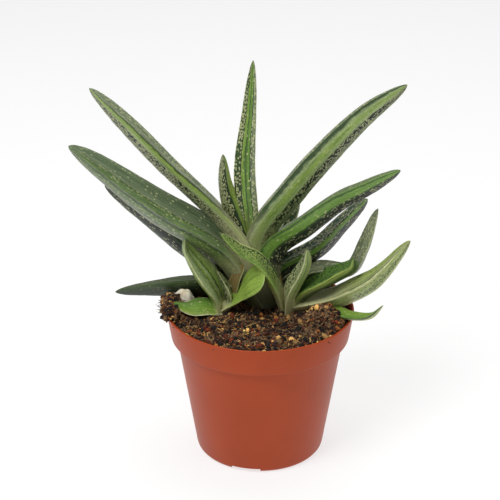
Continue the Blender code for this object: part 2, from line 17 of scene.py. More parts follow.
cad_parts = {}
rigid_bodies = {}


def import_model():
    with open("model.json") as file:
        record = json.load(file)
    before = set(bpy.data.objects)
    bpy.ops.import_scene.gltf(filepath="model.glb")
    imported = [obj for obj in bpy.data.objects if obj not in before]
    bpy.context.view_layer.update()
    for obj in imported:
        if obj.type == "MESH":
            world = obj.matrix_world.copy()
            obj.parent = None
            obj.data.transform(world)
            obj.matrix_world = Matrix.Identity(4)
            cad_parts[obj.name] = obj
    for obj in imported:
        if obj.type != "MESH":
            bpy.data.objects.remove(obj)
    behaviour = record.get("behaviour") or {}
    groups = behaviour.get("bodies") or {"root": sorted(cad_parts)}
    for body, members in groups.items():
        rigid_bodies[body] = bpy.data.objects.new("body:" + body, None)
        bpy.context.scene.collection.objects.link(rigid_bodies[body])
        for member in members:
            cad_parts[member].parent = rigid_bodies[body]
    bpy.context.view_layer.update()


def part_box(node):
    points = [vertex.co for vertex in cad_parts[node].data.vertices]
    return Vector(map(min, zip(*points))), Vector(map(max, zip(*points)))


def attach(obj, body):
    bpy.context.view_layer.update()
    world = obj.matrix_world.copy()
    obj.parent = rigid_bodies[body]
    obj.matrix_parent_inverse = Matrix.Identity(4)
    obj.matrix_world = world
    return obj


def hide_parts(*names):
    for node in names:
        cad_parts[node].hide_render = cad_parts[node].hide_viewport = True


bl_info = {
    "name": "Potted gasteria",
    "version": (1, 0, 0),
    "blender": (4, 5, 0),
    "location": "3D View > Sidebar > Gasteria",
    "description": "Builds a banded, speckled gasteria clump in a nursery pot, with a plain stage",
    "category": "Add Mesh",
}

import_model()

MM = 0.001
WELD = 0.001

# Pot
RIM_RADIUS = 52.5
RIM_HEIGHT = 86.0
BAND_FOOT_RADIUS = 49.9
BAND_FOOT_HEIGHT = 69.7
WALL_TOP_RADIUS = 46.9
WALL_FOOT_RADIUS = 36.0
POT_WALL = 1.3
STEP_RISE = 1.0
COLLAR_LINE = 69.4             # the painted shadow line under the collar lies at this height
COLLAR_LINE_HALF = 1.1
UNDERSIDE_RAISE = 2.6
FLOOR_TOP = 4.0
FOOT_LAND_INNER = 27.0
CENTRE_LAND = 12.0
NOTCHES = 3
NOTCH_BEARING = -103.5
NOTCH_WIDTH = 17.0
NOTCH_REACH = (23.0, 45.0)
DRAINS = 6
DRAIN_RADIUS = 3.5
DRAIN_CIRCLE = 19.5

# Soil
SOIL_LEVEL = 83.5
HEAPS = (
    (-50.0, -6.0, 9.0, 5.0),
    (31.0, -15.0, 8.0, 9.0),
    (39.0, -17.0, 7.0, 7.5),
    (-8.0, -30.0, 16.0, 1.0),
    (10.0, 36.0, 18.0, 2.0),
)
RELIEF = ((7.5, 1.65), (3.1, 1.35), (1.3, 1.5))
EDGE_FALL = 1.0
EDGE_FALL_POWER = 8
UNDER_LEAF = 0.5
CLUMP_PLACE = (-49.5, -5.5, 88.5)
CLUMP_SIZE = (5.0, 12.0, 5.5)

# Crowns: x, y, stem radius at the soil and at the top, height of the top
CROWNS = {
    "main": (-1.0, 14.0, 6.5, 5.0, 91.0),
    "left": (-22.0, 2.0, 4.0, 3.0, 86.0),
    "right": (16.0, 2.0, 4.5, 3.5, 87.0),
}
STEM_FOOT = 64.0

# Pale stone
STONE_PLACE = (-43.0, 5.0)
STONE_SIZE = (12.5, 8.5, 8.3)
STONE_BEAK = 0.25

# Leaves. line: points on the middle line from root to tip; width: from margin to margin, and
# depth: from the upper face to the keel, each at the root, the middle and the upper part;
# turn: degrees that the upper face is turned to the front, at the root and at the tip;
# blunt: how late the leaf draws in to its tip; slot: the name of its finish.
LEAVES = {
    "leaf_front_tongue": dict(
        line=((-22, 1, 83), (-9, -3, 96.5), (-5, -8, 104), (2.5, -13, 111.5)),
        width=(6.5, 13, 18), depth=(4, 5, 3.5), turn=(32, 51), blunt=14, slot="leaf_fresh"),
    "leaf_front_arching": dict(
        line=((13, 1, 83), (8.5, -3, 99), (-1.5, -8, 117.5), (-11.5, -11, 125.5), (-21.5, -14, 137)),
        width=(8, 11, 10.5), depth=(4, 6, 4.5), turn=(42, 41), blunt=4, slot="leaf_speckled"),
    "leaf_front_left": dict(
        line=((-23, 2, 83), (-25, 2, 93), (-40.5, 2, 120), (-41, 2, 129.5)),
        width=(12.5, 19.5, 14.5), depth=(5.5, 8.5, 6.5), turn=(20, 28), blunt=3.5, slot="leaf_fresh"),
    "leaf_front_left_inner": dict(
        line=((-19, 0, 86), (-17, 0.5, 93), (-24, 2.5, 107.5)),
        width=(6, 9.5, 7.5), depth=(3, 4.5, 3), turn=(-14, -20), blunt=4, slot="leaf_speckled"),
    "leaf_front_left_low": dict(
        line=((-23, 1, 84), (-31.5, -4, 87.5), (-40, -8, 88.5), (-50, -10, 93.5)),
        width=(10, 12, 9), depth=(4, 5, 4), turn=(35, 36), blunt=3, slot="leaf_fresh"),
    "leaf_front_dry": dict(
        line=((-16, 3, 87), (-13.5, 2, 102), (-9, 1, 111.5)),
        width=(5, 9.5, 7.5), depth=(1.5, 2, 1.5), turn=(50, 50), blunt=6, slot="leaf_dry"),
    "leaf_front_right": dict(
        line=((16, 0, 83), (17, -3, 97), (24.5, -5, 114.5), (25.5, -7, 124.5)),
        width=(10, 13.5, 13), depth=(6.5, 7, 7.5), turn=(46, 40), blunt=3, slot="leaf_fresh"),
    "leaf_front_right_wide": dict(
        line=((18, 4, 84), (26, 2, 95.5), (42, -1, 106.5), (50.5, -4, 113), (51, -6, 118.5)),
        width=(13, 19.5, 12), depth=(5.5, 7, 7), turn=(4, 12), blunt=8, slot="leaf_speckled"),
    "leaf_right_pale": dict(
        line=((20, 3, 85), (37.5, 0, 90), (47, -3, 95), (63, -8, 107.5), (80.5, -13, 132.5)),
        width=(14, 17, 12), depth=(7, 10, 8), turn=(5, 9), blunt=4, slot="leaf_pale"),
    "leaf_right_over_rim": dict(
        line=((21, 1, 85), (37, -4, 87), (47.5, -16, 88.5), (59, -24.5, 92.5), (66, -27, 100.5)),
        width=(6, 9.5, 9), depth=(3, 3.5, 3.5), turn=(0, 6), blunt=4, slot="leaf_fresh"),
    "leaf_front_withered": dict(
        line=((14, 3, 86), (12, 4, 96), (11, 5, 104)),
        width=(3, 4, 3), depth=(1.2, 1.4, 1.2), turn=(10, 10), blunt=3, slot="leaf_dry"),
    "leaf_left_long": dict(
        line=((-1, 8, 83), (-21.5, 9, 117), (-57.5, -1, 146.5), (-101, -10, 185.5)),
        width=(14, 24, 22), depth=(9.5, 15, 12.5), turn=(17, 22), blunt=5, slot="leaf_green"),
    "leaf_right_long": dict(
        line=((3, 9, 83), (7.5, 8, 118), (24.5, 5, 134), (42.5, 3, 149), (55.5, 0, 157.2),
              (74.5, -4, 169.5)),
        width=(16.5, 23, 19), depth=(12, 10.5, 9), turn=(-12, -8), blunt=6, slot="leaf_green"),
    "leaf_left_high": dict(
        line=((-3, 13, 90), (-13, 12, 124.5), (-53.5, 14, 168.2), (-73.2, 18, 188.2), (-92.3, 22, 206.8)),
        width=(14.5, 17.5, 16), depth=(7, 8.5, 9.5), turn=(-24, 3), blunt=6, slot="leaf_speckled"),
    "leaf_right_high": dict(
        line=((0, 16, 88), (-1, 16, 122), (16.5, 17, 148.5), (35.5, 21, 170.3), (57.3, 26, 191),
              (80, 32, 205.5)),
        width=(24.5, 20, 15.5), depth=(13, 13, 12), turn=(-21, -18), blunt=6, slot="leaf_pale"),
    "leaf_right_lower": dict(
        line=((1, 16, 86), (11.5, 17, 101.5), (32.5, 19, 113.5), (46.5, 25, 126), (60.5, 30, 139)),
        width=(15, 17, 15), depth=(7, 9, 7.5), turn=(-10, -10), blunt=8, slot="leaf_dark"),
    "leaf_inner_left": dict(
        line=((-3, 14, 98), (-9, 15, 119), (-19, 15, 152), (-20.5, 16, 171)),
        width=(11.5, 13.5, 14), depth=(8, 10, 8), turn=(5, 7), blunt=3.5, slot="leaf_speckled"),
    "leaf_upright": dict(
        line=((-2, 16, 100), (-7, 19, 136), (-8.8, 23, 160.5), (-6.3, 30, 191), (-4, 36, 218)),
        width=(10, 12.5, 10.2), depth=(6, 7, 6), turn=(4, 1), blunt=4, slot="leaf_speckled"),
    "leaf_inner_right": dict(
        line=((3, 20, 93), (15, 28, 118), (22.5, 36, 133.5)),
        width=(6, 9, 9), depth=(3.5, 5, 5), turn=(0, 0), blunt=5, slot="leaf_speckled"),
    "leaf_right_upturned": dict(
        line=((1, 14, 87), (17, 12, 95), (32, 11, 104), (50, 9, 104), (57.3, 6, 118.5), (64.2, 4, 144)),
        width=(8.5, 11.5, 15), depth=(4.5, 6, 6.5), turn=(-5, 45), blunt=3, slot="leaf_grey"),
    "leaf_left_shaded": dict(
        line=((-5, 17, 90), (-21, 18.5, 101.5), (-36, 20, 108.5), (-63, 22, 131), (-86.5, 24, 149.5)),
        width=(14, 14.5, 10.5), depth=(8, 8, 7.5), turn=(-3, -2), blunt=6, slot="leaf_dark"),
    "leaf_back_left": dict(
        line=((-6, 18, 88), (-34, 15, 92), (-59.5, 12, 92), (-81.5, 8, 91.5)),
        width=(13, 15, 12), depth=(6, 10, 8), turn=(-11, -11), blunt=4, slot="leaf_dark"),
    "leaf_back_a": dict(
        line=((-3, 18, 88), (-14, 36, 97), (-24, 54, 100), (-30, 70, 98)),
        width=(11, 13, 12), depth=(5, 8, 7), turn=(0, 0), blunt=6, slot="leaf_dark"),
    "leaf_back_b": dict(
        line=((0, 19, 88), (8, 38, 100), (14, 56, 105), (17, 72, 104)),
        width=(11, 13, 12), depth=(5, 8, 7), turn=(0, 0), blunt=6, slot="leaf_green"),
    "leaf_back_c": dict(
        line=((2, 18, 87), (12, 28, 92), (22, 38, 93), (30, 47, 91)),
        width=(10, 12, 11), depth=(5, 7, 6), turn=(0, 0), blunt=6, slot="leaf_dark"),
}
MIDDLE_SHARE = 0.45
UPPER_SHARE = 0.82
TIP_RADIUS = 0.35
TIP_ROUNDNESS = 0.6
LINE_OVER_KEEL = 0.35
FACE_COLUMNS = 16              # mesh columns on each of a leaf's three faces
ROW_SPACING = 1.1              # length of leaf between two mesh rows

# Tones of leaf skin, as a screen shows them
TONES = {
    "sheen": (132, 142, 112), "grey": (118, 130, 100), "olive": (128, 132, 84),
    "lime": (150, 170, 84), "green": (96, 122, 58), "deep": (52, 76, 38),
    "dark": (34, 50, 30), "black": (20, 30, 22), "blue": (46, 68, 54),
    "cream": (206, 206, 158), "pale": (172, 182, 122), "brown": (120, 104, 62),
    "dry": (150, 132, 76), "fresh": (140, 168, 72), "bright": (112, 152, 62),
    "slate": (88, 106, 74), "silver": (158, 176, 120),
}

# Skin of each leaf, as stops over its faces: place, tone, share of speckles.
# Places 0 to 1 cross the upper face from the back margin to the front one, 1 to 2 go down the
# front flank to the keel, and 2 to 3 up the back flank.
SKINS = {
    "leaf_left_long": (
        (0.0, "grey", 0.03), (0.3, "slate", 0.05), (0.62, "grey", 0.05), (0.72, "deep", 0.2),
        (0.8, "green", 0.1), (0.9, "slate", 0.05), (0.96, "green", 0.0), (1.0, "grey", 0.0),
        (1.05, "deep", 0.0), (1.15, "green", 0.2), (1.6, "slate", 0.1), (1.8, "olive", 0.1),
        (2.0, "deep", 0.5),
        (3.0, "green", 0.3)),
    "leaf_left_high": (
        (0.0, "grey", 0.3), (0.8, "grey", 0.3), (0.93, "sheen", 0.0), (1.0, "dark", 0.0),
        (1.05, "fresh", 0.0), (1.25, "silver", 0.0), (1.32, "black", 0.7), (1.8, "blue", 0.75),
        (1.95, "grey", 0.6), (2.1, "deep", 0.6), (3.0, "deep", 0.4)),
    "leaf_right_high": (
        (0.0, "grey", 0.4), (0.85, "grey", 0.4), (0.93, "deep", 0.0), (1.02, "deep", 0.0),
        (1.08, "silver", 0.0), (1.22, "fresh", 0.1), (1.42, "silver", 0.0), (1.5, "black", 0.5),
        (1.7, "black", 0.5), (1.78, "grey", 0.3), (2.05, "olive", 0.3), (3.0, "deep", 0.4)),
    # leaf_right_long: the black band round the keel is the underside's dark green deepened by painted shade.
    "leaf_right_long": (
        (0.0, "grey", 0.0), (0.5, "green", 0.1), (0.9, "bright", 0.0), (1.0, "deep", 0.0),
        (1.06, "bright", 0.0), (1.3, "bright", 0.1), (1.38, "deep", 0.2), (1.5, "black", 0.2),
        (2.1, "black", 0.2), (3.0, "deep", 0.2)),
    "leaf_right_lower": (
        (0.0, "grey", 0.2), (0.3, "blue", 0.35), (0.95, "deep", 0.4), (1.03, "bright", 0.0),
        (1.15, "bright", 0.0), (1.25, "black", 0.2), (2.0, "black", 0.1), (3.0, "deep", 0.3)),
    "leaf_right_pale": (
        (0.0, "lime", 0.05), (0.84, "pale", 0.0), (0.9, "deep", 0.0), (0.94, "pale", 0.0),
        (1.0, "cream", 0.0), (1.08, "lime", 0.0), (1.25, "pale", 0.2), (1.36, "lime", 0.9),
        (1.6, "lime", 0.9), (1.72, "pale", 0.1), (2.0, "cream", 0.0), (3.0, "green", 0.3)),
    "leaf_right_upturned": (
        (0.0, "grey", 0.3), (0.5, "sheen", 0.35), (0.95, "grey", 0.4), (1.0, "pale", 0.2),
        (1.1, "grey", 0.45), (1.7, "deep", 0.3), (3.0, "green", 0.3)),
    "leaf_front_right_wide": (
        (0.0, "deep", 0.8), (0.9, "deep", 0.8), (0.97, "lime", 0.0), (1.1, "lime", 0.0),
        (1.3, "green", 0.1), (1.45, "dark", 0.0), (1.7, "green", 0.0), (2.0, "deep", 0.4),
        (3.0, "deep", 0.5)),
    "leaf_back_left": (
        (0.0, "sheen", 0.05), (0.6, "silver", 0.05), (0.72, "dark", 0.0), (0.8, "slate", 0.1),
        (1.0, "green", 0.05), (1.15, "slate", 0.05), (1.6, "dark", 0.05), (3.0, "deep", 0.2)),
    # leaf_left_shaded: the black band is painted shade under leaf_left_long, and the grey band by the keel
    # is painted light from the floor.
    "leaf_left_shaded": (
        (0.0, "blue", 0.2), (0.9, "dark", 0.2), (1.0, "deep", 0.0), (1.1, "black", 0.1),
        (1.7, "dark", 0.1), (1.9, "grey", 0.0), (2.2, "dark", 0.1), (3.0, "dark", 0.2)),
    "leaf_right_over_rim": (
        (0.0, "fresh", 0.0), (0.8, "bright", 0.05), (1.0, "green", 0.0), (1.15, "deep", 0.0),
        (1.3, "pale", 0.0), (2.0, "pale", 0.0), (3.0, "green", 0.1)),
    "leaf_front_left": (
        (0.0, "cream", 0.0), (0.06, "silver", 0.1), (0.36, "fresh", 0.1), (0.4, "dark", 0.0),
        (0.44, "silver", 0.1), (0.62, "fresh", 0.3), (0.66, "dark", 0.0), (0.7, "silver", 0.1),
        (0.94, "silver", 0.0), (1.0, "cream", 0.0), (1.1, "fresh", 0.1), (2.0, "green", 0.2),
        (3.0, "fresh", 0.1)),
    "leaf_front_arching": (
        (0.0, "cream", 0.0), (0.08, "lime", 0.0), (0.14, "dark", 0.0), (0.22, "deep", 0.9),
        (0.85, "green", 0.85), (0.93, "bright", 0.0), (1.0, "lime", 0.0), (1.7, "fresh", 0.0),
        (2.0, "green", 0.3), (3.0, "deep", 0.5)),
    "leaf_front_right": (
        (0.0, "pale", 0.0), (0.1, "deep", 0.7), (0.8, "deep", 0.8), (0.92, "green", 0.2),
        (1.0, "cream", 0.0), (1.08, "silver", 0.0), (1.3, "fresh", 0.1), (1.36, "deep", 0.0),
        (1.42, "silver", 0.1), (1.8, "lime", 0.0), (1.95, "cream", 0.0), (2.1, "deep", 0.4),
        (3.0, "deep", 0.4)),
    "leaf_front_tongue": (
        (0.0, "fresh", 0.0), (0.9, "fresh", 0.0), (1.0, "lime", 0.0), (1.1, "dry", 0.0),
        (1.8, "olive", 0.0), (2.1, "fresh", 0.0), (3.0, "fresh", 0.0)),
    "leaf_front_left_low": (
        (0.0, "green", 0.05), (0.3, "bright", 0.05), (0.9, "fresh", 0.05), (1.0, "cream", 0.0),
        (1.2, "lime", 0.0), (2.0, "green", 0.1), (3.0, "green", 0.1)),
    "leaf_front_left_inner": (
        (0.0, "cream", 0.0), (0.12, "deep", 0.5), (0.45, "deep", 0.5), (0.5, "lime", 0.0),
        (0.56, "deep", 0.5), (0.9, "deep", 0.5), (1.0, "cream", 0.0), (1.15, "deep", 0.5),
        (3.0, "deep", 0.5)),
    "leaf_front_dry": (
        (0.0, "dry", 0.0), (0.12, "brown", 0.0), (0.88, "brown", 0.0), (1.0, "pale", 0.0),
        (1.2, "brown", 0.0), (3.0, "dry", 0.0)),
    "leaf_front_withered": (
        (0.0, "brown", 0.0), (1.0, "dry", 0.0), (2.0, "brown", 0.0), (3.0, "brown", 0.0)),
    "leaf_upright": (
        (0.0, "pale", 0.1), (0.06, "grey", 0.5), (0.22, "grey", 0.6), (0.27, "dark", 0.0),
        (0.32, "bright", 0.1), (0.44, "green", 0.0), (0.48, "deep", 0.0), (0.52, "bright", 0.1),
        (0.64, "fresh", 0.0), (0.68, "dark", 0.2), (0.74, "deep", 0.7), (0.97, "deep", 0.6),
        (1.0, "pale", 0.1), (1.1, "deep", 0.6), (2.0, "green", 0.3), (3.0, "deep", 0.5)),
    "leaf_inner_left": (
        (0.0, "pale", 0.0), (0.2, "lime", 0.0), (0.85, "fresh", 0.0), (0.95, "dark", 0.0),
        (1.05, "dark", 0.6), (1.38, "dark", 0.7), (1.42, "pale", 0.0), (1.46, "dark", 0.8),
        (2.0, "deep", 0.9), (3.0, "deep", 0.5)),
    "leaf_inner_right": (
        (0.0, "pale", 0.0), (0.15, "deep", 0.3), (0.85, "deep", 0.3), (1.0, "pale", 0.0),
        (1.15, "deep", 0.4), (3.0, "deep", 0.4)),
    "leaf_back_a": (
        (0.0, "pale", 0.2), (0.12, "green", 0.4), (0.5, "grey", 0.3), (0.88, "green", 0.4),
        (1.0, "pale", 0.2), (1.15, "deep", 0.6), (2.0, "lime", 0.1), (2.2, "deep", 0.6),
        (3.0, "deep", 0.5)),
}
SKINS["leaf_back_b"] = SKINS["leaf_back_c"] = SKINS["leaf_back_a"]
ROOT_PALING = {                # share of a leaf's length over which its root pales
    "leaf_left_high": 0.42, "leaf_right_high": 0.34, "leaf_right_long": 0.25, "leaf_right_pale": 0.5,
    "leaf_front_right": 0.4, "leaf_front_arching": 0.35, "leaf_front_tongue": 0.3,
    "leaf_left_long": 0.3, "leaf_upright": 0.3, "leaf_inner_left": 0.25,
}
# Leaves of the main rosette, whose bases get painted shade that fades out between these two heights
SHADE_FOOT = 92.0
SHADE_TOP = 112.0
SHADED_BASE_LEAVES = (
    "leaf_left_long", "leaf_right_long", "leaf_left_high", "leaf_right_high", "leaf_right_lower",
    "leaf_left_shaded", "leaf_back_left", "leaf_right_upturned")
SPECKLE_TONE = {"leaf_front_right_wide": "bright", "leaf_front_arching": "lime", "leaf_right_pale": "dark"}


def linear(screen):
    """Linear colour of a screen colour of 0 to 255 a channel."""
    made = []
    for channel in screen:
        share = channel / 255
        made.append(share / 12.92 if share <= 0.04045 else ((share + 0.055) / 1.055) ** 2.4)
    return made


class PotLooks(bpy.types.PropertyGroup):
    """Sizes and colours of the nursery pot."""

    sides: IntProperty(
        name="Sides", description="Steps round the pot", default=160, min=24, max=320)
    plastic: FloatVectorProperty(
        name="Plastic", description="Colour of the pot's plastic", subtype="COLOR", size=3,
        default=(0.37, 0.052, 0.011), min=0.0, max=1.0)
    roughness: FloatProperty(
        name="Roughness", description="How dull the plastic is", default=0.42, min=0.0, max=1.0,
        subtype="FACTOR")
    lip_rounding: FloatProperty(
        name="Lip rounding", description="Radius of the lip's edges", default=0.35 * MM,
        subtype="DISTANCE", unit="LENGTH")


class SoilLooks(bpy.types.PropertyGroup):
    """Counts and colours of the potting soil."""

    crumbs: IntProperty(
        name="Crumbs", description="Loose crumbs on the soil", default=3200, min=0, max=5000)
    fibres: IntProperty(
        name="Fibres", description="Bent fibres on the soil", default=1500, min=0, max=4000)
    crumb_size: FloatProperty(
        name="Crumb size", description="Radius of a middling crumb", default=0.85 * MM,
        subtype="DISTANCE", unit="LENGTH")
    peat: FloatVectorProperty(
        name="Peat", description="Colour of the dark peat", subtype="COLOR", size=3,
        default=linear((98, 74, 50)), min=0.0, max=1.0)
    bark: FloatVectorProperty(
        name="Bark", description="Colour of the lighter bark and fibre", subtype="COLOR", size=3,
        default=linear((188, 142, 92)), min=0.0, max=1.0)


class LeafLooks(bpy.types.PropertyGroup):
    """Grain and gloss of the leaves."""

    speckle_spacing: FloatProperty(
        name="Speckle spacing", description="Distance between two speckles on a leaf",
        default=1.15 * MM, subtype="DISTANCE", unit="LENGTH")
    roughness: FloatProperty(
        name="Roughness", description="How dull the leaf skin is", default=0.4, min=0.0, max=1.0,
        subtype="FACTOR")
    root: FloatVectorProperty(
        name="Root", description="Colour of the pale leaf bases", subtype="COLOR", size=3,
        default=linear((198, 196, 146)), min=0.0, max=1.0)
    speckle: FloatVectorProperty(
        name="Speckle", description="Colour of the speckles", subtype="COLOR", size=3,
        default=linear((196, 200, 146)), min=0.0, max=1.0)


class StageLooks(bpy.types.PropertyGroup):
    """Camera and light of the stage."""

    distance: FloatProperty(
        name="Distance", description="From the camera to its aim", default=800 * MM,
        subtype="DISTANCE", unit="LENGTH")
    elevation: FloatProperty(
        name="Elevation", description="How far the camera looks down", default=math.radians(24.54),
        subtype="ANGLE", unit="ROTATION")
    lens: FloatProperty(
        name="Lens", description="Focal length in millimetres", default=104.85, min=10.0, max=300.0)
    aim: FloatVectorProperty(
        name="Aim", description="Point that the camera looks at", size=3,
        default=(-5.71 * MM, 0.0, 121.07 * MM), subtype="XYZ", unit="LENGTH")
    floor: FloatVectorProperty(
        name="Floor", description="Colour of the floor", subtype="COLOR", size=3,
        default=(0.35, 0.35, 0.35), min=0.0, max=1.0)
    glow: FloatProperty(
        name="Glow", description="Light of the lit table itself", default=0.7, min=0.0, max=5.0)


def add(tree, kind, feeds=None, **settings):
    """A shader node with its settings, and its inputs fed by values or by other nodes' sockets."""
    made = tree.nodes.new(kind)
    for key, value in settings.items():
        setattr(made, key, value)
    for name, source in (feeds or {}).items():
        socket = made.inputs[name]
        if isinstance(source, bpy.types.NodeSocket):
            tree.links.new(source, socket)
        else:
            socket.default_value = source
    return made


def maths(tree, operation, *values, clamp=False):
    """A Math node's output."""
    return add(tree, "ShaderNodeMath", dict(enumerate(values)), operation=operation,
               use_clamp=clamp).outputs[0]


def mixed(tree, factor, first, second, blend="MIX"):
    """A colour mix's output."""
    made = tree.nodes.new("ShaderNodeMix")
    made.data_type = "RGBA"
    made.blend_type = blend
    for index, source in ((0, factor), (6, first), (7, second)):
        socket = made.inputs[index]
        if isinstance(source, bpy.types.NodeSocket):
            tree.links.new(source, socket)
        elif index == 0:
            socket.default_value = source
        else:
            socket.default_value = (*source, 1.0)
    return made.outputs[2]


def ramp(tree, source, stops):
    """A colour ramp over places and colours; its Color and Alpha outputs."""
    made = add(tree, "ShaderNodeValToRGB", {"Fac": source})
    elements = made.color_ramp.elements
    while len(elements) > 1:
        elements.remove(elements[-1])
    elements[0].position = stops[0][0]
    elements[0].color = stops[0][1]
    for place, colour in stops[1:]:
        elements.new(place).color = colour
    return made.outputs


def principled(name, roughness):
    """A new material, its node tree and its shader."""
    made = bpy.data.materials.new(name)
    made.use_nodes = True
    shader = made.node_tree.nodes["Principled BSDF"]
    shader.inputs["Roughness"].default_value = roughness
    return made, made.node_tree, shader


def bumped(tree, shader, height, distance, strength=1.0):
    """Raise the shader's surface by a height."""
    bump = add(tree, "ShaderNodeBump", {"Height": height, "Distance": distance, "Strength": strength})
    tree.links.new(bump.outputs["Normal"], shader.inputs["Normal"])


def in_order(bm):
    """Number the bmesh's parts by their place, because spin and extrude leave them in any order."""
    middles = ((bm.verts, lambda vert: vert.co),
               (bm.edges, lambda edge: edge.verts[0].co + edge.verts[1].co),
               (bm.faces, lambda face: face.calc_center_median()))
    for parts, middle in middles:
        ranked = sorted(parts, key=lambda part: tuple(round(value, 4) for value in middle(part)))
        for rank, part in enumerate(ranked):
            part.index = rank
        parts.sort()


def object_from(bm, name, surface, smooth=True):
    """Turn a bmesh in millimetres into an object in metres at the origin."""
    bmesh.ops.scale(bm, vec=(MM, MM, MM), verts=bm.verts)
    mesh = bpy.data.meshes.new(name)
    bm.to_mesh(mesh)
    bm.free()
    if smooth:
        mesh.shade_smooth()
    mesh.materials.append(surface)
    obj = bpy.data.objects.new(name, mesh)
    bpy.context.scene.collection.objects.link(obj)
    return obj


def placed(obj, slot, *nodes):
    """Let a piece ride the part's body in place of the nodes that it stands for, which it hides; slot, the
    name of its finish, is not used.
    """
    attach(obj, "root")
    if nodes:
        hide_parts(*nodes)
    return obj


def turned(outline, sides, closed=False):
    """Spin an outline of (radius, height) points round the upright axis."""
    bm = bmesh.new()
    verts = [bm.verts.new((radius, 0.0, height)) for radius, height in outline]
    following = verts[1:] + verts[:1] if closed else verts[1:]
    edges = [bm.edges.new(pair) for pair in zip(verts, following)]
    bmesh.ops.spin(
        bm, geom=verts + edges, cent=(0, 0, 0), axis=(0, 0, 1), angle=math.tau, steps=sides,
        use_merge=True)
    bmesh.ops.remove_doubles(bm, verts=bm.verts, dist=WELD)
    in_order(bm)
    bmesh.ops.recalc_face_normals(bm, faces=bm.faces)
    return bm


def rounded(outline, corners):
    """The outline with some corners cut into small arcs: corners is {index: radius}."""
    made = []
    for index, point in enumerate(outline):
        if index not in corners:
            made.append(point)
            continue
        here = Vector(point)
        before = Vector(outline[index - 1]) - here
        after = Vector(outline[(index + 1) % len(outline)]) - here
        reach = min(corners[index], before.length * 0.45, after.length * 0.45)
        start, end = here + before.normalized() * reach, here + after.normalized() * reach
        for step in range(5):
            t = step / 4
            made.append(tuple(start * (1 - t) ** 2 + here * 2 * t * (1 - t) + end * t * t))
    return made


def inner_radius(height):
    """Radius of the pot's inside at a height."""
    if height > BAND_FOOT_HEIGHT + STEP_RISE:
        share = (height - BAND_FOOT_HEIGHT) / (RIM_HEIGHT - BAND_FOOT_HEIGHT)
        return BAND_FOOT_RADIUS + (RIM_RADIUS - BAND_FOOT_RADIUS) * share - POT_WALL
    share = height / BAND_FOOT_HEIGHT
    return WALL_FOOT_RADIUS + (WALL_TOP_RADIUS - WALL_FOOT_RADIUS) * share - POT_WALL


def cut(obj, cutters):
    """Cut the object by each cutter, then remove the cutters."""
    for cutter in cutters:
        modifier = obj.modifiers.new("cut", "BOOLEAN")
        modifier.object = cutter
    graph = bpy.context.evaluated_depsgraph_get()
    result = bpy.data.meshes.new_from_object(obj.evaluated_get(graph))
    obj.modifiers.clear()
    obj.data = result
    for cutter in cutters:
        bpy.data.objects.remove(cutter, do_unlink=True)


def plastic_material(looks):
    """Satin terracotta plastic with faint mottling, scuffs and a painted shadow line under the collar."""
    surface, tree, shader = principled("pot_plastic", looks.roughness)
    shader.inputs["Specular IOR Level"].default_value = 0.22
    coords = add(tree, "ShaderNodeTexCoord").outputs["Object"]
    cloud = add(tree, "ShaderNodeTexNoise", {"Vector": coords, "Scale": 28.0, "Detail": 3.0})
    grain = add(tree, "ShaderNodeTexNoise", {"Vector": coords, "Scale": 900.0, "Detail": 2.0})
    light = [min(1.0, channel * 1.25) for channel in looks.plastic]
    dull = [channel * 0.85 for channel in looks.plastic]
    base = mixed(tree, cloud.outputs["Fac"], dull, light)
    scuffs = add(tree, "ShaderNodeTexVoronoi", {"Vector": coords, "Scale": 95.0})
    near = maths(tree, "LESS_THAN", scuffs.outputs["Distance"], 0.09)
    chance = add(tree, "ShaderNodeSeparateColor", {"Color": scuffs.outputs["Color"]}).outputs["Red"]
    spots = maths(tree, "MULTIPLY", near, maths(tree, "LESS_THAN", chance, 0.06))
    base = mixed(tree, maths(tree, "MULTIPLY", spots, 0.35), base, linear((206, 170, 140)))
    # Painted shade: the plastic darkens to a thin shadow line just under the collar's step.
    level = add(tree, "ShaderNodeSeparateXYZ", {"Vector": coords}).outputs["Z"]
    collar_shadow = add(tree, "ShaderNodeMapRange", {
        "Value": maths(tree, "ABSOLUTE", maths(tree, "SUBTRACT", level, COLLAR_LINE * MM)),
        "From Min": COLLAR_LINE_HALF * MM, "From Max": 0.0, "To Max": 0.6}).outputs["Result"]
    base = mixed(tree, collar_shadow, base, [channel * 0.3 for channel in looks.plastic])
    tree.links.new(base, shader.inputs["Base Color"])
    bumped(tree, shader, grain.outputs["Fac"], 0.05 * MM, 0.5)
    return surface


